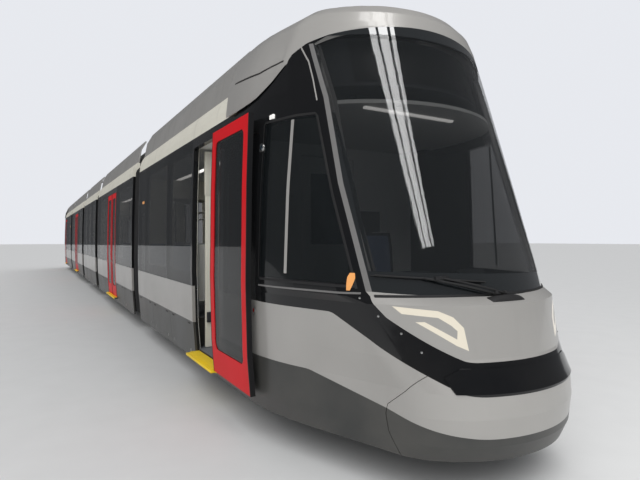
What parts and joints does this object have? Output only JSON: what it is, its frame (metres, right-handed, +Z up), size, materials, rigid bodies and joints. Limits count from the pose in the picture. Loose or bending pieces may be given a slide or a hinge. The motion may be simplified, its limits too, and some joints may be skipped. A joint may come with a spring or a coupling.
{
  "type": "articulated low-floor tram",
  "caption": "Double-ended articulated low-floor tram with plug doors, gangway bellows, bogies with free wheelsets and a roof pantograph.",
  "frame": {"origin": "on the floor under the wheel flanges, in the middle of the tram's length and width", "axes": "+X towards the front cab, +Y to the tram's left, +Z up"},
  "size_m": [30.1, 2.505, 3.6296],
  "materials": {
    "body_grey": "gloss paint",
    "body_black": "gloss paint",
    "skirt_grey": "satin paint",
    "roof_silver": "silver paint",
    "door_red": "gloss paint",
    "window_glass": "tinted",
    "interior": "matt",
    "bellows": "matt",
    "lamp": "clear cover",
    "bogie_steel": "dusty paint",
    "wheel_steel": "worn steel",
    "pantograph": "painted"
  },
  "bodies": {
    "centre_section": {"centre_walls": "body_black", "centre_glass": "window_glass", "centre_underframe": "skirt_grey", "centre_roof": "roof_silver", "centre_interior": "interior", "centre_bogie_frame": "bogie_steel"},
    "front_door_section": {"front_door_car_walls": "body_black", "front_door_car_glass": "window_glass", "front_door_car_doors": "door_red", "front_door_car_underframe": "skirt_grey", "front_door_car_roof": "roof_silver", "front_door_car_interior": "interior", "front_inner_gangway": "bellows", "front_outer_gangway": "bellows"},
    "front_cab_section": {"front_cab_walls": "body_black", "front_cab_glass": "window_glass", "front_cab_doors": "door_red", "front_cab_underframe": "skirt_grey", "front_cab_roof": "roof_silver", "front_cab_interior": "interior", "front_cab_bumper": "body_grey", "front_cab_cowl": "body_grey", "front_cab_mask": "body_black", "front_cab_hood": "roof_silver", "front_cab_windscreen": "window_glass", "front_cab_headlamps": "lamp", "front_cab_bogie_frame": "bogie_steel"},
    "rear_door_section": {"rear_door_car_walls": "body_black", "rear_door_car_glass": "window_glass", "rear_door_car_doors": "door_red", "rear_door_car_underframe": "skirt_grey", "rear_door_car_roof": "roof_silver", "rear_door_car_interior": "interior", "rear_inner_gangway": "bellows", "rear_outer_gangway": "bellows"},
    "rear_cab_section": {"rear_cab_walls": "body_black", "rear_cab_glass": "window_glass", "rear_cab_doors": "door_red", "rear_cab_underframe": "skirt_grey", "rear_cab_roof": "roof_silver", "rear_cab_interior": "interior", "rear_cab_bumper": "body_grey", "rear_cab_cowl": "body_grey", "rear_cab_mask": "body_black", "rear_cab_hood": "roof_silver", "rear_cab_windscreen": "window_glass", "rear_cab_headlamps": "lamp", "rear_cab_bogie_frame": "bogie_steel"},
    "front_inner_wheelset": {"front_inner_wheelset": "wheel_steel"},
    "front_outer_wheelset": {"front_outer_wheelset": "wheel_steel"},
    "rear_inner_wheelset": {"rear_inner_wheelset": "wheel_steel"},
    "rear_outer_wheelset": {"rear_outer_wheelset": "wheel_steel"},
    "centre_bogie_front_wheelset": {"centre_bogie_front_wheelset": "wheel_steel"},
    "centre_bogie_rear_wheelset": {"centre_bogie_rear_wheelset": "wheel_steel"},
    "pantograph_lower_arm": {"pantograph_lower_arm": "pantograph"},
    "pantograph_upper_arm": {"pantograph_upper_arm": "pantograph"},
    "pantograph_guide_rod": {"pantograph_guide_rod": "pantograph"},
    "pantograph_head": {"pantograph_head": "pantograph"},
    "front_cab_inner_door": {"front_cab_inner_door": "interior"},
    "rear_cab_inner_door": {"rear_cab_inner_door": "interior"}
  },
  "joints": [
    {"name": "front_inner_articulation", "type": "hinge", "parent": "centre_section", "child": "front_door_section", "pos_m": [2.1, 0, 0.2], "axis": [0, 0, 1], "range_deg": [-16, 16], "deforming": ["front_inner_gangway"]},
    {"name": "front_outer_articulation", "type": "hinge", "parent": "front_door_section", "child": "front_cab_section", "pos_m": [8, 0, 0.2], "axis": [0, 0, 1], "range_deg": [-16, 16], "deforming": ["front_outer_gangway"]},
    {"name": "rear_inner_articulation", "type": "hinge", "parent": "centre_section", "child": "rear_door_section", "pos_m": [-2.1, 0, 0.2], "axis": [0, 0, 1], "range_deg": [-16, 16], "deforming": ["rear_inner_gangway"]},
    {"name": "rear_outer_articulation", "type": "hinge", "parent": "rear_door_section", "child": "rear_cab_section", "pos_m": [-8, 0, 0.2], "axis": [0, 0, 1], "range_deg": [-16, 16], "deforming": ["rear_outer_gangway"]},
    {"name": "front_inner_wheelset_axle", "type": "hinge", "parent": "front_cab_section", "child": "front_inner_wheelset", "pos_m": [9.025, 0, 0.323], "axis": [0, 1, 0], "continuous": true},
    {"name": "front_outer_wheelset_axle", "type": "hinge", "parent": "front_cab_section", "child": "front_outer_wheelset", "pos_m": [10.875, 0, 0.323], "axis": [0, 1, 0], "continuous": true},
    {"name": "rear_inner_wheelset_axle", "type": "hinge", "parent": "rear_cab_section", "child": "rear_inner_wheelset", "pos_m": [-9.025, 0, 0.323], "axis": [0, 1, 0], "continuous": true},
    {"name": "rear_outer_wheelset_axle", "type": "hinge", "parent": "rear_cab_section", "child": "rear_outer_wheelset", "pos_m": [-10.875, 0, 0.323], "axis": [0, 1, 0], "continuous": true},
    {"name": "centre_bogie_front_wheelset_axle", "type": "hinge", "parent": "centre_section", "child": "centre_bogie_front_wheelset", "pos_m": [0.925, 0, 0.323], "axis": [0, 1, 0], "continuous": true},
    {"name": "centre_bogie_rear_wheelset_axle", "type": "hinge", "parent": "centre_section", "child": "centre_bogie_rear_wheelset", "pos_m": [-0.925, 0, 0.323], "axis": [0, 1, 0], "continuous": true},
    {"name": "front_cab_inner_door_hinge", "type": "hinge", "parent": "front_cab_section", "child": "front_cab_inner_door", "pos_m": [12.439, 0.319, 0.778], "axis": [0, 0, -1], "range_deg": [0, 90]},
    {"name": "rear_cab_inner_door_hinge", "type": "hinge", "parent": "rear_cab_section", "child": "rear_cab_inner_door", "pos_m": [-12.439, -0.319, 0.778], "axis": [0, 0, -1], "range_deg": [0, 90]},
    {"name": "pantograph_raise", "type": "hinge", "parent": "centre_section", "child": "pantograph_lower_arm", "pos_m": [-0.7, 0, 3.228], "axis": [0, -1, 0], "range_deg": [0, 58]},
    {"name": "pantograph_knee", "type": "hinge", "parent": "pantograph_lower_arm", "child": "pantograph_upper_arm", "pos_m": [0.53783, 0, 3.40197], "axis": [0, 1, 0], "range_deg": [0, 116]},
    {"name": "pantograph_level", "type": "hinge", "parent": "pantograph_upper_arm", "child": "pantograph_head", "pos_m": [-0.80703, 0, 3.51963], "axis": [0, -1, 0], "range_deg": [0, 58]},
    {"name": "pantograph_guide", "type": "hinge", "parent": "centre_section", "child": "pantograph_guide_rod", "pos_m": [-0.5495, 0, 3.0977], "axis": [0, -1, 0], "range_deg": [0, 58.41]}
  ],
  "couplings": [
    {"joint": "pantograph_knee", "follows": "pantograph_raise", "ratio": 2},
    {"joint": "pantograph_level", "follows": "pantograph_raise", "ratio": 1},
    {"joint": "pantograph_guide", "follows": "pantograph_raise", "ratio": 1.007}
  ]
}
